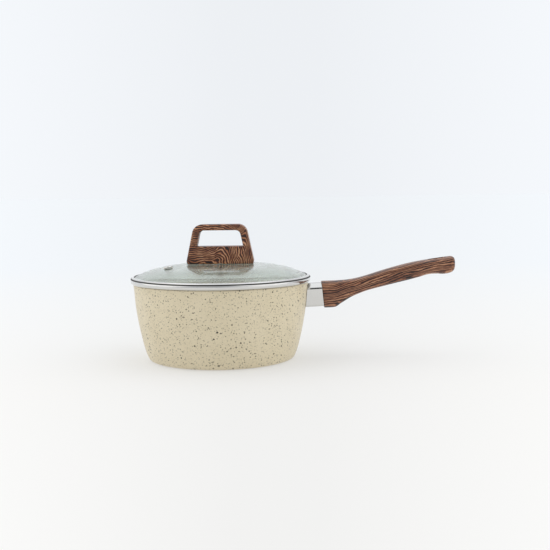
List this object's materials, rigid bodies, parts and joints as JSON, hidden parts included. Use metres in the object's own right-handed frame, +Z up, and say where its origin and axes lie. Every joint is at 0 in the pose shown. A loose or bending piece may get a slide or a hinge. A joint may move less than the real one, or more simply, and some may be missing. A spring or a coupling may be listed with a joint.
{
  "type": "saucepan with glass lid",
  "caption": "Tapered saucepan with a speckled stone-look coating, a long wood-print handle and a domed glass lid with a steel rim, a steam vent and a loop knob.",
  "frame": {"origin": "centre of the base on the surface the pan stands on", "axes": "+Z up along the pan's axis, +X along the handle"},
  "size_m": [0.3351, 0.1858, 0.139],
  "materials": {
    "stone_coating": "satin speckled stone-look non-stick coating over pressed aluminium",
    "base_steel": "brushed",
    "bracket_steel": "stamped, plain",
    "rivet_aluminium": "satin",
    "polished_steel": "polished stainless steel",
    "wood_print": "satin thermoset with a printed wood grain",
    "screw_steel": "zinc plated",
    "tempered_glass": "clear with a faint green tint",
    "silicone": "translucent, matte",
    "brass": "turned"
  },
  "bodies": {
    "pan": {"pan_body": "stone_coating", "induction_base_plate": "base_steel", "handle_bracket": "bracket_steel", "bracket_rivet_upper": "rivet_aluminium", "bracket_rivet_lower": "rivet_aluminium", "handle_ferrule": "polished_steel", "handle_grip": "wood_print", "handle_screw": "screw_steel", "handle_screw_washer": "screw_steel"},
    "lid": {"lid_glass": "tempered_glass", "lid_rim_band": "polished_steel", "vent_eyelet": "polished_steel", "vent_gasket": "silicone", "vent_washer": "screw_steel", "lid_knob": "wood_print", "knob_insert": "brass", "knob_gasket": "silicone", "under_glass_gasket": "silicone", "knob_washer": "screw_steel", "knob_spring_washer": "screw_steel", "knob_screw": "screw_steel"}
  },
  "joints": [
    {"name": "lid_lift", "type": "slide", "parent": "pan", "child": "lid", "axis": [0, 0, 1], "range_m": [0, 0.15]}
  ]
}
